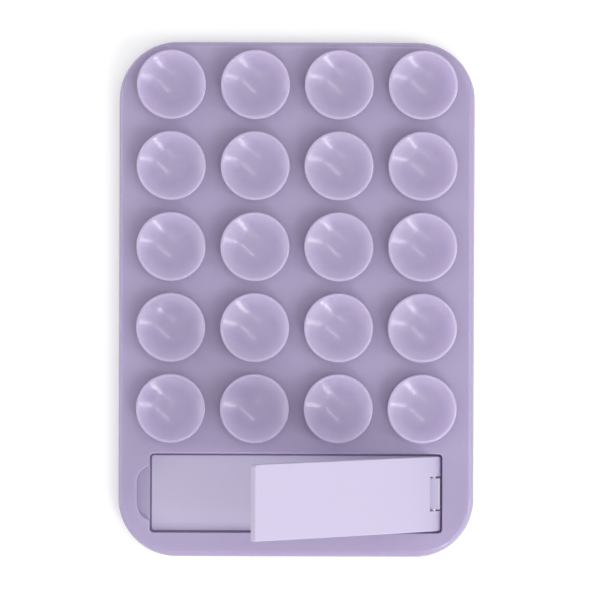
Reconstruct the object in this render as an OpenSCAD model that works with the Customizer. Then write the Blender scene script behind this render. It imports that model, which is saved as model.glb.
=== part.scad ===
// Suction cup phone holder.
// A silicone pad with a grid of suction cups on its face is moulded round a rigid back plate, which has a
// sheet of adhesive foam on its back. A kickstand folds out of a window in the pad, below the cups.
// The pad lies on its adhesive back with its cups facing up, along +Z. Its top edge is towards +Y, and the
// kickstand's hinge is towards +X. The origin is on the adhesive face, under the middle of the pad.

/* [Pad] */
// Width of the pad
pad_w = 61.6; // [56:0.2:76]
// Height of the pad, from its bottom edge to its top edge
pad_h = 89.2; // [80:0.2:110]
// Thickness of the pad, from its back to the face that carries the cups
pad_t = 3.6; // [3.6:0.1:5]
// Radius of the pad's four corners
pad_corner_r = 10.1; // [8:0.1:13]
// Rounding of the pad's front edge
pad_front_r = 1; // [0.5:0.1:1.2]
// Rounding of the pad's back edge
pad_back_r = 0.4; // [0.2:0.1:0.6]
// Thickness of the silicone wall round the back plate's edge
skirt_w = 1.8; // [1.4:0.1:3]
// Width of the return lip that holds the back plate in the pad
return_lip_w = 0.8; // [0.5:0.1:1]
// Thickness of the return lip
return_lip_t = 0.4; // [0.3:0.1:0.6]

/* [Suction cups] */
// Cups across the pad
cup_columns = 4; // [2:1:4]
// Cups down the pad
cup_rows = 5; // [2:1:5]
// Distance from the pad's sides to the outer columns' centres
cup_side_margin = 9.05; // [7:0.05:11]
// Distance from the pad's top edge to the first row's centres
cup_top_margin = 7.4; // [6.8:0.1:9]
// Distance from the last row's centres to the window
cup_window_margin = 7.95; // [7:0.05:9]
// Gap between neighbouring cups where they are closest
cup_gap = 2.05; // [1.6:0.05:4]
// Height of a cup above the pad's face
cup_h = 3.2; // [2.9:0.1:4.5]
// Depth of a cup's hollow
cup_depth = 1.5; // [1:0.1:1.8]
// Thickness of a cup's wall
cup_wall_t = 0.7; // [0.5:0.1:0.9]
// Width of a lip's rim, from the hollow's mouth to the outside
lip_w = 0.45; // [0.35:0.05:0.8]
// Height of the lip, which stays stiff as the cup flattens
lip_h = 0.5; // [0.4:0.1:0.6]
// Rounding of the lip's outer edge
lip_edge_r = 0.2; // [0.1:0.05:0.25]
// Diameter of the stem under a cup
stem_d = 5.2; // [4:0.1:7]
// Rounding where a stem meets the pad's face
stem_fillet_r = 0.4; // [0.2:0.1:0.5]

/* [Kickstand] */
// Distance from the pad's sides to the window
window_side_margin = 5.45; // [5.2:0.05:9]
// Distance from the pad's bottom edge to the window
window_margin = 4.15; // [3.4:0.05:4.8]
// Width of the stand
stand_w = 13; // [11:0.1:13.4]
// Thickness of the base that the stand folds down on
leaf_t = 0.75; // [0.6:0.05:0.75]
// Thickness of the folding stand
flap_t = 1.5; // [1.3:0.05:1.5]
// Gap between the folded stand and its base
flap_gap = 0.1; // [0.05:0.05:0.15]
// Angle at which the stand is shown open
stand_angle = 50; // [0:1:75]
// Angle at which the stand's heel meets its base
stop_angle = 75; // [75:1:88]
// Gap left between the heel and the base at the end of the travel
stop_gap = 0.03; // [0.02:0.01:0.06]
// Gap between the stand and the window's edge
stand_gap = 0.35; // [0.3:0.05:0.6]
// Radius of the window's corners
window_corner_r = 0.7; // [0.5:0.1:1.5]
// Rounding of the pad's face into the window
window_rim_r = 0.2; // [0.1:0.05:0.4]
// Radius of the base's corners
leaf_corner_r = 0.4; // [0.2:0.1:1.5]
// Radius of the stand's corners
flap_corner_r = 0.6; // [0.4:0.1:1.5]
// Rounding of the stand's edges
flap_edge_r = 0.25; // [0.1:0.05:0.35]
// Thickness of the stand's tip
tip_t = 1; // [0.9:0.05:1.25]
// Length over which the stand thins to its tip
tip_l = 5; // [3:0.5:12]

/* [Hinge] */
// Length of the knuckle on the base
knuckle_w = 5.4; // [4:0.1:7.6]
// Distance from the pin's axis to the knuckle's inner end
knuckle_reach = 1.5; // [1:0.05:2]
// Gap at each end of the knuckle
knuckle_gap = 0.3; // [0.2:0.05:0.4]
// Gap between the knuckle and the foot of the stand's notch, as the stand turns
notch_gap = 0.35; // [0.2:0.05:0.8]
// Rounding of the knuckle's top edges
knuckle_edge_r = 0.3; // [0.1:0.05:0.4]
// Diameter of the hinge pin
pin_d = 0.8; // [0.7:0.02:0.9]
// Distance from the stand's side to the pin's end
pin_inset = 0.4; // [0.2:0.1:0.8]
// Chamfer of the pin's ends
pin_chamfer = 0.15; // [0.05:0.05:0.25]
// Gap all round the pin in the knuckle
pin_clearance = 0.03; // [0.02:0.01:0.06]
// How much tighter than the pin the stand's own holes are, all round
pin_press = 0.01; // [0.005:0.005:0.02]

/* [Finger scoop] */
// How far the scoop reaches out of the window's end
scoop_reach = 2.2; // [1.4:0.1:2.4]
// Radius of the scoop's two far corners
scoop_r = 3; // [2.5:0.1:3.2]
// Straight length of the scoop's far side
scoop_straight = 3.6; // [2:0.1:4.4]
// Depth of the scoop below the pad's face
scoop_depth = 1.4; // [1:0.1:2]
// Rounding where the scoop opens into the window
scoop_mouth_r = 0.6; // [0.5:0.1:1]

/* [Backing] */
// Thickness of the rigid back plate
plate_t = 1.2; // [1.1:0.05:1.2]
// Gap between the back plate's edge and the pad
plate_fit = 0.05; // [0.02:0.01:0.1]
// Thickness of the adhesive foam
foam_t = 0.8; // [0.5:0.1:1.2]
// Distance from the pad's edge to the foam's edge
foam_inset = 1.2; // [0.6:0.1:2.4]
// Diameter of the pegs that hold the stand's base on the back plate
peg_d = 1.6; // [1.2:0.1:2.2]
// Diameter of a peg's melted head
peg_head_d = 2.6; // [2.4:0.1:3.4]
// Thickness of a peg's melted head
peg_head_t = 0.4; // [0.3:0.05:0.5]
// Gap round a peg and its head
peg_fit = 0.05; // [0.02:0.01:0.1]
// Distance from the base's end to the pegs
peg_inset_x = 5; // [3:0.5:10]
// Distance from the base's side to the pegs
peg_inset_y = 3; // [2.4:0.1:4]

/* [Hidden] */
$fn = 96;

silicone_colour = [0.68, 0.63, 0.77];
stand_colour = [0.84, 0.80, 0.91];
plate_colour = [0.74, 0.70, 0.82];
foam_colour = [0.93, 0.92, 0.90];
steel_colour = [0.75, 0.76, 0.78];

// How far a cut runs past the face that it opens
overrun = 0.5;

// Heights, from the adhesive face up
back_z = foam_t;
plate_top_z = back_z + plate_t;
face_z = back_z + pad_t;
leaf_top_z = plate_top_z + leaf_t;
pin_z = leaf_top_z + flap_gap + flap_t / 2;

// The window, and the stand in it
window_l = pad_w - 2 * window_side_margin;
window_w = stand_w + 2 * stand_gap;
window_y = -pad_h / 2 + window_margin + window_w / 2;
stand_l = window_l - 2 * stand_gap;

// The cups fill the pad from side to side, and from the top edge down to the window
cup_top_y = pad_h / 2 - cup_top_margin;
cup_low_y = window_y + window_w / 2 + cup_window_margin;
cup_pitch_x = (pad_w - 2 * cup_side_margin) / (cup_columns - 1);
cup_pitch_y = (cup_top_y - cup_low_y) / (cup_rows - 1);
cup_room = min(cup_pitch_x, cup_pitch_y, 2 * cup_side_margin, 2 * cup_top_margin);
cup_d = cup_room - cup_gap;

// Outline of the pocket that holds the back plate
pocket_w = pad_w - 2 * skirt_w;
pocket_h = pad_h - 2 * skirt_w;
pocket_corner_r = pad_corner_r - skirt_w;

// The hollow of a cup is part of a ball, and its wall is the shell of a larger ball with the same centre
cup_r = cup_d / 2;
mouth_r = cup_r - lip_w;
hollow_r = (mouth_r * mouth_r + cup_depth * cup_depth) / (2 * cup_depth);
hollow_z = cup_h - cup_depth + hollow_r;
stem_h = cup_h - cup_depth - cup_wall_t;
stem_r = stem_d / 2;
fillet_r = min(stem_fillet_r, stem_h);
lip_z = cup_h - lip_h;

// The heel is a flat that turns about the pin and lies on the base at the stop angle
heel_r = flap_t / 2 + flap_gap - stop_gap;
tail_l = (heel_r + flap_t / 2 * cos(stop_angle)) / sin(stop_angle);
pin_x = stand_l / 2 - tail_l;
flap_l = stand_l - tail_l;
notch_w = knuckle_w + 2 * knuckle_gap;
notch_l = norm([knuckle_reach, flap_t / 2]) + notch_gap;
pin_l = stand_w - 2 * pin_inset;

function wall_name(row, column) = str("cup_wall_", row, "_", column);
function lip_name(row, column) = str("cup_lip_", row, "_", column);

// A rectangle about the origin with round corners
module rounded_rectangle(size_x, size_y, r) {
    square([size_x - 2 * r, size_y], center = true);
    square([size_x, size_y - 2 * r], center = true);
    for (side_x = [-1, 1], side_y = [-1, 1])
        translate([side_x * (size_x / 2 - r), side_y * (size_y / 2 - r)])
            circle(r);
}

// What is cut from a square corner about the origin to round it
module corner_waste(r) {
    difference() {
        square(r + overrun);
        circle(r);
    }
}

// Half of a slab's section, from its middle out to its rounded edge
module edge_section(reach, t, front_r, back_r) {
    difference() {
        square([reach, t]);
        translate([reach - front_r, t - front_r])
            corner_waste(front_r);
        translate([reach - back_r, back_r])
            mirror([0, 1])
                corner_waste(back_r);
    }
}

module slab_run(reach, length, t, front_r, back_r) {
    rotate([90, 0, 0])
        linear_extrude(length, center = true)
            for (side = [0, 1])
                mirror([side, 0])
                    edge_section(reach, t, front_r, back_r);
}

// A flat slab on the origin's plane, with round corners and rounded front and back edges
module rounded_slab(size_x, size_y, corner_r, t, front_r, back_r) {
    slab_run(size_x / 2, size_y - 2 * corner_r, t, front_r, back_r);
    rotate([0, 0, 90])
        slab_run(size_y / 2, size_x - 2 * corner_r, t, front_r, back_r);
    for (side_x = [-1, 1], side_y = [-1, 1])
        translate([side_x * (size_x / 2 - corner_r), side_y * (size_y / 2 - corner_r), 0])
            rotate_extrude()
                edge_section(corner_r, t, front_r, back_r);
}

// Places its children at one cup, on the pad's face
module at_cup(row, column) {
    translate([
        (column - (cup_columns + 1) / 2) * cup_pitch_x,
        cup_top_y - (row - 1) * cup_pitch_y,
        face_z
    ])
        children();
}

// Places its children on the hinge pin's axis, at the middle of the stand
module at_pin() {
    translate([pin_x, window_y, pin_z])
        children();
}

module at_pegs() {
    for (side_x = [-1, 1], side_y = [-1, 1])
        translate([
            side_x * (stand_l / 2 - peg_inset_x),
            window_y + side_y * (stand_w / 2 - peg_inset_y),
            back_z
        ])
            children();
}

// The pad and its cups

module stem() {
    rotate_extrude() {
        translate([0, -pad_front_r])
            square([stem_r, pad_front_r + stem_h]);
        translate([stem_r, 0])
            difference() {
                square(fillet_r);
                translate([fillet_r, fillet_r])
                    circle(fillet_r);
            }
    }
}

module back_plate_pocket() {
    translate([0, 0, back_z + return_lip_t])
        linear_extrude(plate_t - return_lip_t)
            rounded_rectangle(pocket_w, pocket_h, pocket_corner_r);
    translate([0, 0, back_z - overrun])
        linear_extrude(overrun + plate_t)
            rounded_rectangle(
                pocket_w - 2 * return_lip_w,
                pocket_h - 2 * return_lip_w,
                pocket_corner_r - return_lip_w
            );
}

// Section of the cut that rounds the pad's face into a hole. The hole's edge is on the axis, at the face's height,
// and the cut runs on into the hole
module rim_waste() {
    difference() {
        translate([-window_rim_r, -window_rim_r])
            square([2 * window_rim_r, window_rim_r + overrun]);
        translate([window_rim_r, -window_rim_r])
            circle(window_rim_r);
    }
}

// Rounds the rim along a straight edge that lies on the Y axis, with the pad's face towards +X
module straight_rim(length) {
    rotate([90, 0, 0])
        linear_extrude(length, center = true)
            rim_waste();
}

// Rounds the rim of a round hole about the origin
module round_rim(r) {
    rotate_extrude()
        translate([r, 0])
            rim_waste();
}

module window_cut() {
    translate([0, 0, plate_top_z - overrun])
        linear_extrude(face_z - plate_top_z + 2 * overrun)
            rounded_rectangle(window_l, window_w, window_corner_r);
    translate([0, 0, face_z]) {
        for (turn = [0, 180]) {
            rotate([0, 0, turn])
                translate([window_l / 2, 0, 0])
                    straight_rim(window_w - 2 * window_corner_r);
            rotate([0, 0, turn + 90])
                translate([window_w / 2, 0, 0])
                    straight_rim(window_l - 2 * window_corner_r);
        }
        for (side_x = [-1, 1], side_y = [-1, 1])
            translate([
                side_x * (window_l / 2 - window_corner_r),
                side_y * (window_w / 2 - window_corner_r),
                0
            ])
                round_rim(window_corner_r);
    }
}

// The scoop is a long hole with round ends, set so that only its far side reaches out of the window's end. Each
// of its mouth's two corners is an arc that touches the scoop's own arc and the window's end.
module scoop_cut() {
    centre_x = scoop_r - scoop_reach;
    mouth_y = sqrt(pow(scoop_r + scoop_mouth_r, 2) - pow(centre_x + scoop_mouth_r, 2));
    mouth_turn = atan2(mouth_y, centre_x + scoop_mouth_r);
    translate([0, 0, face_z - scoop_depth])
        linear_extrude(scoop_depth + overrun) {
            square([2 * scoop_reach, scoop_straight], center = true);
            for (side = [-1, 1])
                translate([centre_x, side * scoop_straight / 2])
                    circle(scoop_r);
        }
    translate([-scoop_reach, 0, face_z])
        rotate([0, 0, 180])
            straight_rim(scoop_straight);
    for (side = [0, 1])
        mirror([0, side, 0])
            translate([0, scoop_straight / 2, 0]) {
                translate([centre_x, 0, face_z])
                    round_rim(scoop_r);
                translate([0, 0, face_z - scoop_depth])
                    linear_extrude(scoop_depth + overrun)
                        difference() {
                            polygon([[centre_x, 0], [-scoop_mouth_r, mouth_y], [centre_x, mouth_y]]);
                            translate([-scoop_mouth_r, mouth_y])
                                circle(scoop_mouth_r);
                        }
                translate([-scoop_mouth_r, mouth_y, face_z])
                    rotate([0, 0, -mouth_turn])
                        rotate_extrude(angle = mouth_turn)
                            translate([scoop_mouth_r, 0])
                                mirror([1, 0])
                                    rim_waste();
            }
}

module suction_pad() {
    color(silicone_colour) {
        difference() {
            translate([0, 0, back_z])
                rounded_slab(pad_w, pad_h, pad_corner_r, pad_t, pad_front_r, pad_back_r);
            back_plate_pocket();
            translate([0, window_y, 0])
                window_cut();
            translate([-window_l / 2, window_y, 0])
                scoop_cut();
        }
        for (row = [1:cup_rows], column = [1:cup_columns])
            at_cup(row, column)
                stem();
    }
}

// A whole cup above its stem, with its foot on the stem's top
module cup_bell() {
    difference() {
        union() {
            intersection() {
                rotate_extrude()
                    edge_section(cup_r, cup_h, lip_edge_r, lip_edge_r);
                translate([0, 0, hollow_z])
                    sphere(hollow_r + cup_wall_t);
            }
            translate([0, 0, stem_h])
                cylinder(h = cup_wall_t, r = stem_r);
        }
        translate([0, 0, hollow_z])
            sphere(hollow_r);
    }
}

// The part of a cup between two heights above the pad's face
module cup_slice(low_z, high_z) {
    intersection() {
        cup_bell();
        translate([0, 0, low_z])
            cylinder(h = high_z - low_z, r = cup_r + overrun);
    }
}

module cup_wall() {
    color(silicone_colour)
        cup_slice(stem_h, lip_z);
}

module cup_lip() {
    color(silicone_colour)
        cup_slice(lip_z, cup_h);
}

// The backing

module back_plate() {
    color(plate_colour)
        difference() {
            union() {
                translate([0, 0, back_z + return_lip_t])
                    linear_extrude(plate_t - return_lip_t)
                        rounded_rectangle(
                            pocket_w - 2 * plate_fit,
                            pocket_h - 2 * plate_fit,
                            pocket_corner_r - plate_fit
                        );
                translate([0, 0, back_z])
                    linear_extrude(plate_t)
                        rounded_rectangle(
                            pocket_w - 2 * return_lip_w - 2 * plate_fit,
                            pocket_h - 2 * return_lip_w - 2 * plate_fit,
                            pocket_corner_r - return_lip_w - plate_fit
                        );
            }
            at_pegs() {
                translate([0, 0, -overrun])
                    cylinder(h = plate_t + 2 * overrun, d = peg_d + 2 * peg_fit);
                translate([0, 0, -overrun])
                    cylinder(h = peg_head_t + peg_fit + overrun, d = peg_head_d + 2 * peg_fit);
            }
        }
}

module adhesive_pad() {
    color(foam_colour)
        linear_extrude(foam_t)
            rounded_rectangle(
                pad_w - 2 * foam_inset,
                pad_h - 2 * foam_inset,
                pad_corner_r - foam_inset
            );
}

// The kickstand

module knuckle_section() {
    foot = pin_z - leaf_top_z + leaf_t / 2;
    difference() {
        translate([-knuckle_reach, -foot])
            square([knuckle_reach + tail_l, foot + flap_t / 2]);
        translate([tail_l - knuckle_edge_r, flap_t / 2 - knuckle_edge_r])
            corner_waste(knuckle_edge_r);
        translate([knuckle_edge_r - knuckle_reach, flap_t / 2 - knuckle_edge_r])
            mirror([1, 0])
                corner_waste(knuckle_edge_r);
    }
}

module stand_base() {
    color(stand_colour) {
        difference() {
            union() {
                translate([0, window_y, plate_top_z])
                    linear_extrude(leaf_t)
                        rounded_rectangle(stand_l, stand_w, leaf_corner_r);
                at_pin()
                    rotate([90, 0, 0])
                        linear_extrude(knuckle_w, center = true)
                            knuckle_section();
            }
            at_pin()
                rotate([90, 0, 0])
                    cylinder(h = stand_w, r = pin_d / 2 + pin_clearance, center = true);
        }
        at_pegs() {
            translate([0, 0, peg_fit])
                cylinder(h = peg_head_t, d = peg_head_d);
            translate([0, 0, peg_fit])
                cylinder(h = plate_t - peg_fit + leaf_t / 2, d = peg_d);
        }
    }
}

// The folded stand's section, with the pin's axis at the origin and its free end towards -X. Its end is cut
// to the heel, and two flats take its underside round the pin to the heel.
module flap_section() {
    polygon([
        [-flap_l, flap_t / 2],
        [tail_l, flap_t / 2],
        [heel_r * sin(stop_angle), -heel_r * cos(stop_angle)],
        [heel_r * sin(stop_angle / 2), -heel_r * cos(stop_angle / 2)],
        [0, -flap_t / 2],
        [tip_l - flap_l, -flap_t / 2],
        [-flap_l, flap_t / 2 - tip_t]
    ]);
}

module kickstand() {
    color(stand_colour)
        at_pin()
            rotate([0, stand_angle, 0])
                difference() {
                    intersection() {
                        rotate([90, 0, 0])
                            linear_extrude(stand_w, center = true)
                                flap_section();
                        translate([(tail_l - flap_l) / 2, 0, -flap_t / 2])
                            rounded_slab(stand_l, stand_w, flap_corner_r, flap_t, flap_edge_r, flap_edge_r);
                    }
                    translate([-notch_l, -notch_w / 2, -flap_t])
                        cube([notch_l + tail_l + overrun, notch_w, 2 * flap_t]);
                    rotate([90, 0, 0])
                        cylinder(h = stand_w + overrun, r = pin_d / 2 - pin_press, center = true);
                }
}

module hinge_pin() {
    color(steel_colour)
        at_pin()
            rotate([90, 0, 0])
                rotate_extrude()
                    polygon([
                        [0, -pin_l / 2],
                        [pin_d / 2 - pin_chamfer, -pin_l / 2],
                        [pin_d / 2, pin_chamfer - pin_l / 2],
                        [pin_d / 2, pin_l / 2 - pin_chamfer],
                        [pin_d / 2 - pin_chamfer, pin_l / 2],
                        [0, pin_l / 2]
                    ]);
}

suction_pad();
back_plate();
adhesive_pad();
stand_base();
kickstand();
hinge_pin();
for (row = [1:cup_rows], column = [1:cup_columns]) {
    at_cup(row, column) cup_wall();
    at_cup(row, column) cup_lip();
}
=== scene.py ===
import math

import bmesh
import bpy
from mathutils import Matrix, Vector


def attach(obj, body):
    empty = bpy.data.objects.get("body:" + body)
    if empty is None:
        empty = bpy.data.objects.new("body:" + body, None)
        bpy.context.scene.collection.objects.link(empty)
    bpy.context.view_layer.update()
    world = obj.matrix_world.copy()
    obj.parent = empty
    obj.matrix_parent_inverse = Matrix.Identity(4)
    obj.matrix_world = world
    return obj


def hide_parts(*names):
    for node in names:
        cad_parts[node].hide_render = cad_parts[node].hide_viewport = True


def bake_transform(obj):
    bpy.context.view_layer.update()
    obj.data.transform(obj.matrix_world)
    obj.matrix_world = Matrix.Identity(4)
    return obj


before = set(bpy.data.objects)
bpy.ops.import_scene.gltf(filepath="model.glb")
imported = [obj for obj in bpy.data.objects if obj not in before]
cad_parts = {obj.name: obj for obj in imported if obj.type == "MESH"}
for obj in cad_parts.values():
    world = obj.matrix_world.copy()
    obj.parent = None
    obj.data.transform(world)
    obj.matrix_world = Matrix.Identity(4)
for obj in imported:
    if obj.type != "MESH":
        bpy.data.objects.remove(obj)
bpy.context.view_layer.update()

# The camera looks down on the pad from far above it through a long lens. It stands about one degree off the
# upright, towards the pad's top edge, and is turned by a fifth of a degree.
CAMERA_PLACE = (-0.0048, 0.0205, 1.2042)
AIM_DISTANCE = 1.1998
AIM_BACK_Y = 0.02057
AIM_BACK_X = 0.00532
CAMERA_TURN = 0.0035
camera_data = bpy.data.cameras.new("camera")
camera_data.lens = 415.46
camera_data.sensor_width = 36
camera_data.clip_start = 0.01
camera = bpy.data.objects.new("camera", camera_data)
camera.location = CAMERA_PLACE
camera.rotation_euler = (-math.atan2(AIM_BACK_Y, AIM_DISTANCE), -math.atan2(AIM_BACK_X, AIM_DISTANCE), CAMERA_TURN)
bpy.context.scene.collection.objects.link(camera)
bpy.context.scene.camera = camera


# The pad is one silicone moulding, satin and a little translucent. It is a flat sheet with round corners, and its
# skirt wraps the edge of the back plate. The window for the stand and the finger scoop are open to its face.
PAD_W = 0.0616
PAD_H = 0.0892
PAD_CORNER_R = 0.0101
PAD_BACK_Z = 0.0008
PAD_FACE_Z = 0.0044
FACE_EDGE_R = 0.001
BACK_EDGE_R = 0.0004
SKIRT_WALL = 0.0018
PLATE_CORNER_R = 0.0083
PLATE_RECESS_Z = (0.0012, 0.0020)
RETURN_LIP = 0.0026
OPENING_CORNER_R = 0.0075
BACK_OPENING_Z = (0.0002, 0.0016)
WINDOW_W = 0.0507
WINDOW_H = 0.0137
WINDOW_CORNER_R = 0.0007
WINDOW_RIM_R = 0.0002
WINDOW_CUT_Z = (0.0014, 0.0060)
WINDOW_Y = -0.0336
WINDOW_END = -0.02535
PAD_LAVENDER = (0.462, 0.396, 0.592)
# Painted light: a paler lavender, painted towards each cup's lip for the light that shines through the thin wall.
PAINTED_LIP_LIGHT_LAVENDER = (0.540, 0.472, 0.680)


def new_piece(name, bm, material, body=None, angle=35):
    """Makes a bmesh a finished piece. Edges that turn by more than the angle stay sharp."""
    mesh = bpy.data.meshes.new(name)
    bm.to_mesh(mesh)
    bm.free()
    piece = bpy.data.objects.new(name, mesh)
    bpy.context.scene.collection.objects.link(piece)
    mesh.materials.append(material)
    # The normals that a copy of a CAD node brings with it don't fit its merged mesh.
    stored_normals = mesh.attributes.get("custom_normal")
    if stored_normals:
        mesh.attributes.remove(stored_normals)
    mesh.shade_smooth()
    mesh.set_sharp_from_angle(angle=math.radians(angle))
    even = piece.modifiers.new("even_normals", "WEIGHTED_NORMAL")
    even.keep_sharp = True
    if body:
        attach(piece, body)
    return piece


def thicken(bm, height):
    """Turns a flat face into a solid."""
    top = bmesh.ops.extrude_face_region(bm, geom=bm.faces[:])
    raised = [v for v in top["geom"] if isinstance(v, bmesh.types.BMVert)]
    bmesh.ops.translate(bm, vec=(0, 0, height), verts=raised)
    bmesh.ops.recalc_face_normals(bm, faces=bm.faces)


def round_slab(size_x, size_y, corner_r, low_z, high_z, segments, centre=(0, 0)):
    """A flat slab with round corners, as a bmesh."""
    bm = bmesh.new()
    bmesh.ops.create_grid(bm, x_segments=1, y_segments=1, size=0.5)
    bmesh.ops.scale(bm, vec=(size_x, size_y, 1), verts=bm.verts)
    bmesh.ops.bevel(bm, geom=bm.verts[:], offset=corner_r, offset_type="OFFSET", affect="VERTICES",
                    segments=segments, profile=0.5, material=-1)
    bmesh.ops.translate(bm, vec=(*centre, low_z), verts=bm.verts)
    thicken(bm, high_z - low_z)
    return bm


def draw_line(bm, vert, step):
    """Draws a straight line from a vertex, and gives back its far end."""
    new = bmesh.ops.extrude_vert_indiv(bm, verts=[vert])["verts"][0]
    new.co += Vector(step)
    return new


def draw_arc(bm, vert, centre, degrees, steps, axis=(0, 0, 1)):
    """Carries a vertex round a point with a line behind it, and gives back the line's far end."""
    made = bmesh.ops.spin(bm, geom=[vert], cent=centre, axis=axis, angle=math.radians(degrees), steps=steps,
                          use_merge=False)
    return [v for v in made["geom_last"] if isinstance(v, bmesh.types.BMVert)][0]


def scoop_block():
    """The scoop's shape, drawn from one corner of its mouth round to the other."""
    floor_z = 0.0030
    height = 0.0030
    into_window = 0.0020
    mouth_y = 0.0051166
    mouth_r = 0.0006
    turn = 67.11
    corner_x = WINDOW_END + 0.0008
    corner_y = 0.0018
    bm = bmesh.new()
    start = bm.verts.new((WINDOW_END + into_window, WINDOW_Y + mouth_y, floor_z))
    end = draw_line(bm, start, (-into_window, 0, 0))
    end = draw_arc(bm, end, (WINDOW_END - mouth_r, WINDOW_Y + mouth_y, floor_z), -turn, 8)
    end = draw_arc(bm, end, (corner_x, WINDOW_Y + corner_y, floor_z), turn, 16)
    end = draw_line(bm, end, (0, -2 * corner_y, 0))
    end = draw_arc(bm, end, (corner_x, WINDOW_Y - corner_y, floor_z), turn, 16)
    end = draw_arc(bm, end, (WINDOW_END - mouth_r, WINDOW_Y - mouth_y, floor_z), -turn, 8)
    end = draw_line(bm, end, (into_window, 0, 0))
    bmesh.ops.contextual_create(bm, geom=[start, end])
    bmesh.ops.edgeloop_fill(bm, edges=bm.edges[:])
    thicken(bm, height)
    return bm


def round_edges(bm, chosen, radius, segments):
    """Rounds the edges that the test picks."""
    edges = [e for e in bm.edges if chosen(e)]
    bmesh.ops.bevel(bm, geom=edges, offset=radius, offset_type="OFFSET", affect="EDGES", segments=segments,
                    profile=0.5, material=-1)


def lies_at(z):
    """A test for edges that lie level at a height."""
    tolerance = 1e-6
    return lambda edge: all(abs(v.co.z - z) < tolerance for v in edge.verts)


def on_window_rim(edge):
    """A test for the sharp edges round the window and the scoop, at the height of the face."""
    least_turn = 1
    below_cups_y = -0.02
    if not lies_at(PAD_FACE_Z)(edge) or len(edge.link_faces) != 2:
        return False
    return edge.calc_face_angle(0) > least_turn and all(v.co.y < below_cups_y for v in edge.verts)


def cut(bm, cutter):
    """Takes one bmesh's solid out of another's, and gives back what is left."""
    objects = []
    for part, name in ((bm, "blank"), (cutter, "cutter")):
        mesh = bpy.data.meshes.new(name)
        part.to_mesh(mesh)
        part.free()
        objects.append(bpy.data.objects.new(name, mesh))
        bpy.context.scene.collection.objects.link(objects[-1])
    blank, tool = objects
    modifier = blank.modifiers.new("cut", "BOOLEAN")
    modifier.operation = "DIFFERENCE"
    modifier.solver = "EXACT"
    modifier.object = tool
    cut_mesh = bpy.data.meshes.new_from_object(blank.evaluated_get(bpy.context.evaluated_depsgraph_get()))
    left = bmesh.new()
    left.from_mesh(cut_mesh)
    for thing in (blank, tool):
        mesh = thing.data
        bpy.data.objects.remove(thing)
        bpy.data.meshes.remove(mesh)
    bpy.data.meshes.remove(cut_mesh)
    return left


def new_finish(name):
    """A material with a plain shader, ready for its pattern."""
    material = bpy.data.materials.new(name)
    material.use_nodes = True
    nodes = material.node_tree.nodes
    return material, nodes, material.node_tree.links, nodes["Principled BSDF"]


def press_relief(nodes, links, shader, height, strength, depth):
    """Raises the shader's surface where the pattern is high."""
    relief = nodes.new("ShaderNodeBump")
    relief.inputs["Strength"].default_value = strength
    relief.inputs["Distance"].default_value = depth
    links.new(height, relief.inputs["Height"])
    links.new(relief.outputs["Normal"], shader.inputs["Normal"])


def silicone_finish(name, colour):
    """Satin lavender silicone with a faint moulded skin. Where the mesh carries a share for it, the colour is painted
    paler, as painted light for the light that shines through thin silicone.
    """
    cloud_lift = 1.03
    material, nodes, links, shader = new_finish(name)
    shader.inputs["Subsurface Weight"].default_value = 0.7
    shader.inputs["Subsurface Radius"].default_value = (1.0, 0.85, 1.1)
    shader.inputs["Subsurface Scale"].default_value = 0.002
    place = nodes.new("ShaderNodeTexCoord")
    cloud = nodes.new("ShaderNodeTexNoise")
    cloud.inputs["Scale"].default_value = 160
    cloud.inputs["Detail"].default_value = 3
    tint = nodes.new("ShaderNodeMix")
    tint.data_type = "RGBA"
    tint.inputs["A"].default_value = (*colour, 1)
    tint.inputs["B"].default_value = (*[c * cloud_lift for c in colour], 1)
    links.new(place.outputs["Object"], cloud.inputs["Vector"])
    links.new(cloud.outputs["Fac"], tint.inputs["Factor"])
    # Painted light: the colour is mixed towards a paler lavender by the mesh's share, for the light through the thin
    # wall.
    painted_lip_light = nodes.new("ShaderNodeAttribute")
    painted_lip_light.attribute_name = "painted_lip_light"
    pale = nodes.new("ShaderNodeMix")
    pale.data_type = "RGBA"
    pale.inputs["B"].default_value = (*PAINTED_LIP_LIGHT_LAVENDER, 1)
    links.new(painted_lip_light.outputs["Fac"], pale.inputs["Factor"])
    links.new(tint.outputs["Result"], pale.inputs["A"])
    links.new(pale.outputs["Result"], shader.inputs["Base Color"])
    gloss = nodes.new("ShaderNodeMapRange")
    gloss.inputs["To Min"].default_value = 0.13
    gloss.inputs["To Max"].default_value = 0.17
    links.new(cloud.outputs["Fac"], gloss.inputs["Value"])
    links.new(gloss.outputs["Result"], shader.inputs["Roughness"])
    grain = nodes.new("ShaderNodeTexNoise")
    grain.inputs["Scale"].default_value = 5200
    grain.inputs["Detail"].default_value = 2
    links.new(place.outputs["Object"], grain.inputs["Vector"])
    press_relief(nodes, links, shader, grain.outputs["Fac"], strength=0.12, depth=0.00003)
    return material


silicone = silicone_finish("silicone", PAD_LAVENDER)

pad = round_slab(PAD_W, PAD_H, PAD_CORNER_R, PAD_BACK_Z, PAD_FACE_Z, segments=32)
round_edges(pad, lies_at(PAD_FACE_Z), FACE_EDGE_R, segments=8)
round_edges(pad, lies_at(PAD_BACK_Z), BACK_EDGE_R, segments=4)
plate_recess = round_slab(PAD_W - 2 * SKIRT_WALL, PAD_H - 2 * SKIRT_WALL, PLATE_CORNER_R, *PLATE_RECESS_Z,
                          segments=24)
back_opening = round_slab(PAD_W - 2 * RETURN_LIP, PAD_H - 2 * RETURN_LIP, OPENING_CORNER_R, *BACK_OPENING_Z,
                          segments=24)
window = round_slab(WINDOW_W, WINDOW_H, WINDOW_CORNER_R, *WINDOW_CUT_Z, segments=8, centre=(0, WINDOW_Y))
for hollow in (plate_recess, back_opening, window, scoop_block()):
    pad = cut(pad, hollow)
round_edges(pad, on_window_rim, WINDOW_RIM_R, segments=4)
pad = new_piece("silicone_pad", pad, silicone, "pad")
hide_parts("suction_pad")
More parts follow.
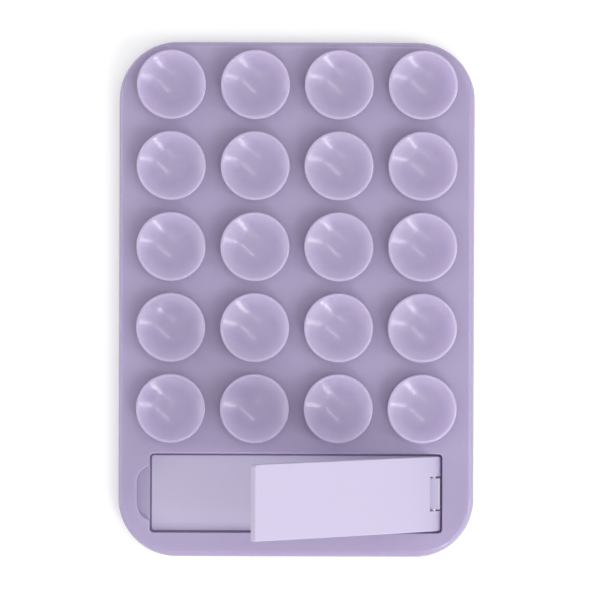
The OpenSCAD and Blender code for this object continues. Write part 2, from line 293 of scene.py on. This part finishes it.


# Each suction cup is a shallow dish on a short stem, moulded in one with the pad. Its thin wall ends in a narrow flat
# lip.
CUP_ROWS = 5
CUP_COLUMNS = 4
CUP_PITCH_X = 0.0145
CUP_PITCH_Y = 0.014
TOP_ROW_INSET = 0.0074
# Painted shade: the cups are given a darker copy of the pad's lavender, for the shade in their dishes. The same
# silicone is also painted paler towards each lip.
CUP_SHADED_LAVENDER = (0.430, 0.368, 0.558)
MERGE_WITHIN = 1e-7
cup_silicone_painted_light = silicone_finish("cup_silicone_painted_light", CUP_SHADED_LAVENDER)


def turn_about(bm, x, y, steps=128):
    """Spins the outline drawn in the XZ plane right round the Z axis, and sets it at x, y."""
    bmesh.ops.spin(bm, geom=bm.verts[:] + bm.edges[:], cent=(0, 0, 0), axis=(0, 0, 1), angle=math.tau,
                   steps=steps, use_merge=True)
    bmesh.ops.remove_doubles(bm, verts=bm.verts, dist=MERGE_WITHIN)
    bmesh.ops.recalc_face_normals(bm, faces=bm.faces)
    bmesh.ops.translate(bm, vec=(x, y, 0), verts=bm.verts)


def cup_outline():
    """Half of a cup's section: stem, outside of the wall, lip, then the hollow down to the middle."""
    across = (0, 1, 0)
    foot_r = 0.0030
    foot_fillet = 0.0004
    foot_sink = 0.00002
    foot_sweep = 88
    stem_height = 0.00055
    stem_flare = 0.0003
    wall_r = 0.01163
    hollow_r = 0.01093
    hollow_z = PAD_FACE_Z + 0.01263
    wall_top_x = 0.005875
    lip_step = (0.0001, 0, 0.00012)
    lip_top = PAD_FACE_Z + 0.0032
    lip_edge_r = 0.0002
    lip_inner_x = 0.00561
    mouth_edge_r = 0.0003
    mouth_edge_sweep = 30.5
    fade_from_x = 0.0030
    fade_length = 0.0028
    bm = bmesh.new()
    foot = bm.verts.new((foot_r, 0, PAD_FACE_Z - foot_sink))
    end = draw_arc(bm, foot, (foot_r, 0, PAD_FACE_Z + foot_fillet), foot_sweep, 6, across)
    wall_foot_x = end.co.x + stem_flare
    end = draw_line(bm, end, (0, 0, stem_height))
    start = math.asin(wall_foot_x / wall_r)
    end = draw_line(bm, end, (stem_flare, 0, hollow_z - wall_r * math.cos(start) - end.co.z))
    rim = math.asin(wall_top_x / wall_r)
    end = draw_arc(bm, end, (0, 0, hollow_z), -math.degrees(rim - start), 12, across)
    end = draw_line(bm, end, lip_step)
    end = draw_line(bm, end, (0, 0, lip_top - lip_edge_r - end.co.z))
    end = draw_arc(bm, end, (end.co.x - lip_edge_r, 0, end.co.z), -90, 5, across)
    end = draw_line(bm, end, (lip_inner_x - end.co.x, 0, 0))
    end = draw_arc(bm, end, (end.co.x, 0, end.co.z - mouth_edge_r), -mouth_edge_sweep, 4, across)
    mouth = math.asin(end.co.x / hollow_r)
    draw_arc(bm, end, (0, 0, hollow_z), math.degrees(mouth), 20, across)
    # Painted light: the share rises from the stem out to the lip, where the colour is painted paler for the light
    # through the thin wall.
    painted_lip_light = bm.verts.layers.float.new("painted_lip_light")
    for vert in bm.verts:
        share = max(0, min(1, (vert.co.x - fade_from_x) / fade_length))
        vert[painted_lip_light] = share * share * (3 - 2 * share)
    return bm


for row in range(1, CUP_ROWS + 1):
    for column in range(1, CUP_COLUMNS + 1):
        cup_x = (column - (CUP_COLUMNS + 1) / 2) * CUP_PITCH_X
        cup_y = PAD_H / 2 - TOP_ROW_INSET - (row - 1) * CUP_PITCH_Y
        outline = cup_outline()
        turn_about(outline, cup_x, cup_y)
        cup = new_piece(f"cup_{row}_{column}", outline, cup_silicone_painted_light, angle=60)
        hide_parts(f"cup_wall_{row}_{column}", f"cup_lip_{row}_{column}")
        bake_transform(cup)


# The kickstand, its base and its pin are rigid. The stand and the base are moulded in pale lavender plastic with a
# fine satin grain, and the pin is a cut length of steel wire.
STAND_LILAC = (0.60, 0.545, 0.74)
# Painted shade: the base is a darker copy of the stand's lilac, for the shade in the window under the raised stand.
SHADED_BASE_LILAC = (0.565, 0.512, 0.70)
WIRE_GREY = (0.62, 0.62, 0.64, 1)


def plastic_finish(name, colour, roughness):
    """Moulded plastic with faint clouds of tone and a fine satin grain."""
    cloud_drop = 0.98
    material, nodes, links, shader = new_finish(name)
    shader.inputs["Roughness"].default_value = roughness
    place = nodes.new("ShaderNodeTexCoord")
    cloud = nodes.new("ShaderNodeTexNoise")
    cloud.inputs["Scale"].default_value = 90
    tint = nodes.new("ShaderNodeMix")
    tint.data_type = "RGBA"
    tint.inputs["A"].default_value = (*[c * cloud_drop for c in colour], 1)
    tint.inputs["B"].default_value = (*colour, 1)
    links.new(place.outputs["Object"], cloud.inputs["Vector"])
    links.new(cloud.outputs["Fac"], tint.inputs["Factor"])
    links.new(tint.outputs["Result"], shader.inputs["Base Color"])
    grain = nodes.new("ShaderNodeTexNoise")
    grain.inputs["Scale"].default_value = 9000
    links.new(place.outputs["Object"], grain.inputs["Vector"])
    press_relief(nodes, links, shader, grain.outputs["Fac"], strength=0.15, depth=0.00002)
    return material


def steel_finish():
    """Bright wire, with the fine lines of its drawing along it."""
    material, nodes, links, shader = new_finish("steel")
    shader.inputs["Base Color"].default_value = WIRE_GREY
    shader.inputs["Metallic"].default_value = 1
    place = nodes.new("ShaderNodeTexCoord")
    stretch = nodes.new("ShaderNodeMapping")
    stretch.inputs["Scale"].default_value = (1, 0.05, 1)
    drawn = nodes.new("ShaderNodeTexNoise")
    drawn.inputs["Scale"].default_value = 6000
    gloss = nodes.new("ShaderNodeMapRange")
    gloss.inputs["To Min"].default_value = 0.25
    gloss.inputs["To Max"].default_value = 0.45
    links.new(place.outputs["Object"], stretch.inputs["Vector"])
    links.new(stretch.outputs["Vector"], drawn.inputs["Vector"])
    links.new(drawn.outputs["Fac"], gloss.inputs["Value"])
    links.new(gloss.outputs["Result"], shader.inputs["Roughness"])
    return material


def dress(node, body, material):
    """A merged and smooth-shaded copy of a CAD node, which it then stands for."""
    bm = bmesh.new()
    bm.from_mesh(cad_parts[node].data)
    bmesh.ops.remove_doubles(bm, verts=bm.verts, dist=MERGE_WITHIN)
    piece = new_piece(node + "_shown", bm, material, body)
    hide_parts(node)


dress("stand_base", "pad", plastic_finish("base_plastic_painted_shade", SHADED_BASE_LILAC, roughness=0.42))
dress("kickstand", "stand", plastic_finish("stand_plastic", STAND_LILAC, roughness=0.42))
dress("hinge_pin", "stand", steel_finish())


# The back plate is a plain plastic moulding inside the pad, held by the skirt's return lip. A sheet of off-white
# adhesive foam is stuck over the whole back, and fixes the holder to a phone.
PLATE_LILAC = (0.55, 0.49, 0.68)
FOAM_CELL = (0.74, 0.73, 0.71, 1)
FOAM_WALL = (0.82, 0.81, 0.79, 1)


def foam_finish():
    """Off-white foam with fine closed cells."""
    material, nodes, links, shader = new_finish("adhesive_foam")
    shader.inputs["Roughness"].default_value = 0.5
    place = nodes.new("ShaderNodeTexCoord")
    cells = nodes.new("ShaderNodeTexVoronoi")
    cells.inputs["Scale"].default_value = 4000
    tint = nodes.new("ShaderNodeMix")
    tint.data_type = "RGBA"
    tint.inputs["A"].default_value = FOAM_CELL
    tint.inputs["B"].default_value = FOAM_WALL
    links.new(place.outputs["Object"], cells.inputs["Vector"])
    links.new(cells.outputs["Distance"], tint.inputs["Factor"])
    links.new(tint.outputs["Result"], shader.inputs["Base Color"])
    press_relief(nodes, links, shader, cells.outputs["Distance"], strength=0.4, depth=0.00006)
    return material


dress("back_plate", "pad", plastic_finish("plate_plastic", PLATE_LILAC, roughness=0.5))
dress("adhesive_pad", "pad", foam_finish())


# The holder lies on a plain white table in a softly lit room. A broad light comes from the lower right, and weaker
# ones from overhead and from the left. Four narrow lights draw the short streaks and the thin lines in each cup.
TABLE_HALF = 2
TABLE_GAP = 0.0001
TABLE_WHITE = (0.9, 0.9, 0.9, 1)
PLAIN_WHITE = (1, 1, 1, 1)
ROOM_LIGHT = 0.45
SEEN_PALER = 0.3

table_bm = bmesh.new()
bmesh.ops.create_grid(table_bm, x_segments=1, y_segments=1, size=TABLE_HALF)
table_mesh = bpy.data.meshes.new("table")
table_bm.to_mesh(table_mesh)
table_bm.free()
table = bpy.data.objects.new("table", table_mesh)
table.location.z = -TABLE_GAP
bpy.context.scene.collection.objects.link(table)


def seen_paler(nodes, links, light):
    """A strength that lights the object by its own value, and that the camera and mirror images see raised."""
    ray = nodes.new("ShaderNodeLightPath")
    strength = ray.outputs["Is Camera Ray"]
    for kind in ("Is Glossy Ray", "Is Transmission Ray"):
        either = nodes.new("ShaderNodeMath")
        either.operation = "MAXIMUM"
        links.new(strength, either.inputs[0])
        links.new(ray.outputs[kind], either.inputs[1])
        strength = either.outputs["Value"]
    raised = nodes.new("ShaderNodeMath")
    raised.operation = "MULTIPLY_ADD"
    raised.inputs[1].default_value = SEEN_PALER
    raised.inputs[2].default_value = light
    links.new(strength, raised.inputs[0])
    return raised.outputs["Value"]


white, table_nodes, table_links, table_shader = new_finish("white_table")
table_shader.inputs["Base Color"].default_value = TABLE_WHITE
table_shader.inputs["Roughness"].default_value = 0.9
table_shader.inputs["Emission Color"].default_value = PLAIN_WHITE
table_links.new(seen_paler(table_nodes, table_links, 0), table_shader.inputs["Emission Strength"])
table_mesh.materials.append(white)


def lamp(name, size, power, place, turn=0):
    """A flat lamp of width and length size, aimed at the middle of the pad and turned about its own beam."""
    data = bpy.data.lights.new(name, "AREA")
    data.shape = "RECTANGLE"
    data.size, data.size_y = size
    data.energy = power
    light = bpy.data.objects.new(name, data)
    light.location = place
    facing = (-Vector(place)).to_track_quat("-Z", "Y")
    light.rotation_euler = (facing.to_matrix() @ Matrix.Rotation(math.radians(turn), 3, "Z")).to_euler()
    bpy.context.scene.collection.objects.link(light)


lamp("overhead", size=(1.6, 1.6), power=2.5, place=(0, 0, 1.3))
lamp("key", size=(0.8, 0.8), power=2.2, place=(0.505, -0.355, 0.46))
lamp("left_fill", size=(0.5, 0.5), power=1.6, place=(-0.927, 0, 0.375))
lamp("low_streak", size=(0.06, 0.315), power=0.55, place=(0.2436, -0.4214, 0.4755), turn=9)
lamp("side_streak", size=(0.06, 0.35), power=0.46, place=(0.485, -0.1147, 0.4664), turn=4)
lamp("line", size=(0.03, 0.36), power=0.23, place=(0.123, 0.076, 0.594), turn=-74.7)
lamp("faint_line", size=(0.03, 0.32), power=0.1, place=(0, -0.21, 0.58), turn=55)

room = bpy.data.worlds.new("room")
room.use_nodes = True
backdrop = room.node_tree.nodes["Background"]
backdrop.inputs["Color"].default_value = PLAIN_WHITE
room_links = room.node_tree.links
room_links.new(seen_paler(room.node_tree.nodes, room_links, ROOM_LIGHT), backdrop.inputs["Strength"])
bpy.context.scene.world = room
bpy.context.scene.view_settings.view_transform = "Standard"
